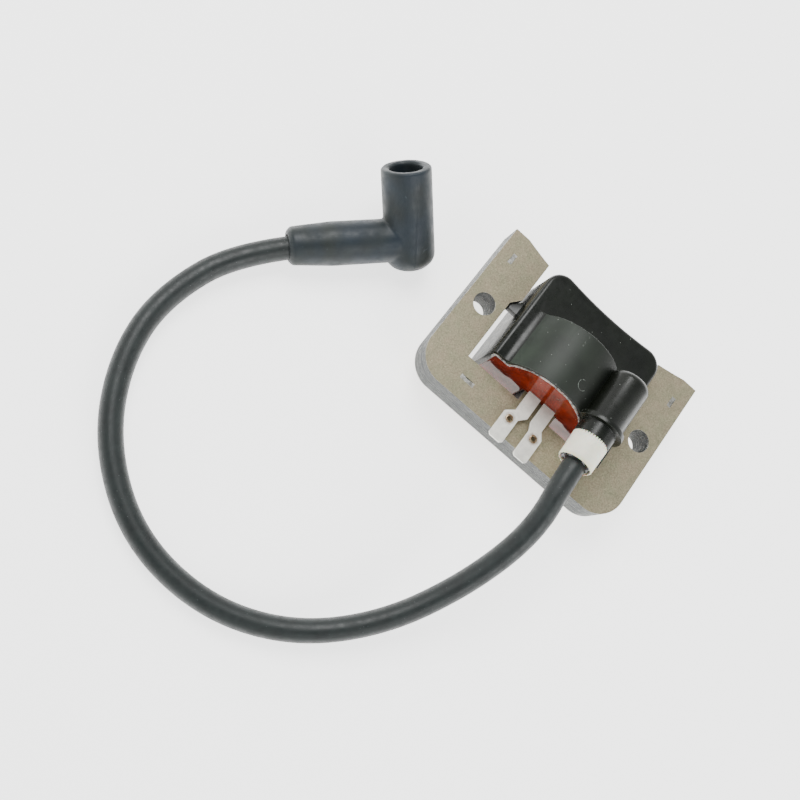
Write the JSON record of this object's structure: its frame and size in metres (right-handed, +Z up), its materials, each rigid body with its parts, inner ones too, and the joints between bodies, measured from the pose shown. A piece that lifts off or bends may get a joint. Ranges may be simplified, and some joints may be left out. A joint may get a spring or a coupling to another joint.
{
  "type": "ignition coil",
  "caption": "Small-engine ignition coil: laminated E core with two bolt holes, potted housing with spade tabs, and a lead to an angled spark plug boot.",
  "frame": {"origin": "midway between the two bolt holes, on the underside of the laminated core", "axes": "+Z up through the bolt holes, +Y from the core's yoke towards its pole faces and the flywheel, +X across the core through both bolt holes"},
  "size_m": [0.1407, 0.1432, 0.0376],
  "materials": {
    "core_steel": "clear-varnished electrical steel, stamped, slightly worn",
    "housing_nylon": "black glass-filled nylon, moulded, glossy",
    "potting_resin": "red-brown cast epoxy, uneven gloss",
    "lead_rubber": "charcoal synthetic rubber, satin",
    "boot_rubber": "black moulded rubber, satin",
    "collar_nylon": "natural cream nylon",
    "sealant": "black glossy sealant",
    "tab_steel": "tinned steel, dull silver",
    "clip_steel": "spring steel, plated",
    "copper": "enamelled copper wire",
    "bobbin_plastic": "natural polyester moulding",
    "tape": "polyester insulating tape",
    "board": "glass-epoxy circuit board",
    "component": "black moulded component bodies",
    "brass_pin": "plain brass",
    "wire_sleeve": "red insulated wire"
  },
  "bodies": {
    "root": {"core_laminations": "core_steel", "primary_bobbin": "bobbin_plastic", "primary_winding": "copper", "insulation_tape": "tape", "secondary_bobbin": "bobbin_plastic", "secondary_winding": "copper", "circuit_board": "board", "storage_capacitor": "component", "power_transistor": "component", "timing_controller": "component", "diodes": "component", "resistors": "component", "hook_up_wires": "wire_sleeve", "core_ground_strap": "tab_steel", "output_pin": "brass_pin", "output_wire": "wire_sleeve", "kill_terminal": "tab_steel", "supply_terminal": "tab_steel", "coil_housing": "housing_nylon", "potting_resin": "potting_resin", "ignition_lead": "lead_rubber", "lead_seal": "lead_rubber", "lead_collar": "collar_nylon", "collar_sealant": "sealant"},
    "boot": {"spark_plug_boot": "boot_rubber", "plug_terminal_clip": "clip_steel", "contact_spike": "brass_pin"}
  },
  "joints": [
    {"name": "boot_swivel", "type": "hinge", "parent": "root", "child": "boot", "pos_m": [-0.05949, 0.00336, 0.0014], "axis": [0.6942, 0.7159, 0.0741], "range_deg": [-90, 90]}
  ]
}
